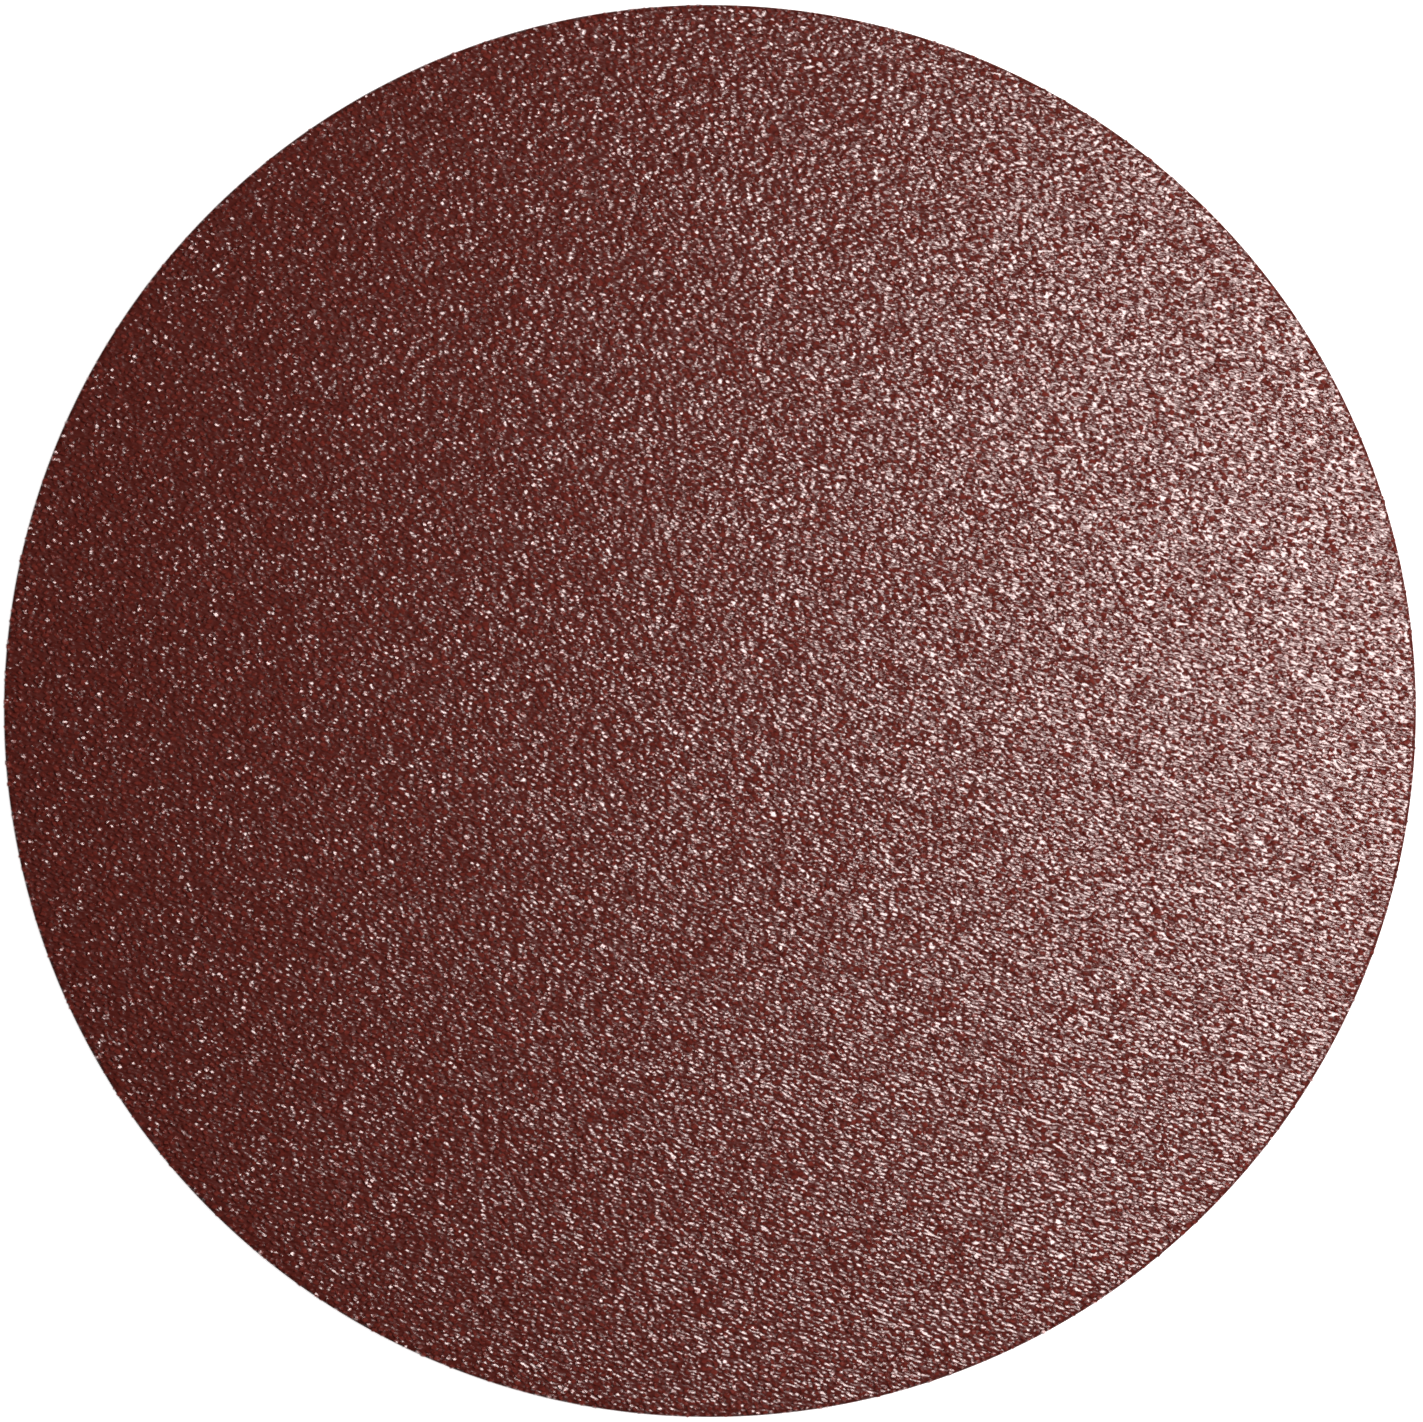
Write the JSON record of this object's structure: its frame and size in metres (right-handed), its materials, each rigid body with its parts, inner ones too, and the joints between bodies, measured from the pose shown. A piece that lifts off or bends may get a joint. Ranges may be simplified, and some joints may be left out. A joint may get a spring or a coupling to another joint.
{
  "type": "fibre sanding disc",
  "caption": "Round fibre sanding disc with no centre hole: a stiff fibre sheet with dark red-brown resin-bonded grain on its face and a plain flat back.",
  "frame": {"origin": "centre of the flat back face, which is the face it lies on", "axes": "+Z out of the grain face, along the disc's axis; +X and +Y lie in the back face, any way round, because the disc is round"},
  "size_m": [0.125, 0.125, 0.0014],
  "materials": {
    "resin_bonded_grain": "satin"
  },
  "bodies": {
    "root": {"sanding_disc": "resin_bonded_grain"}
  },
  "joints": []
}
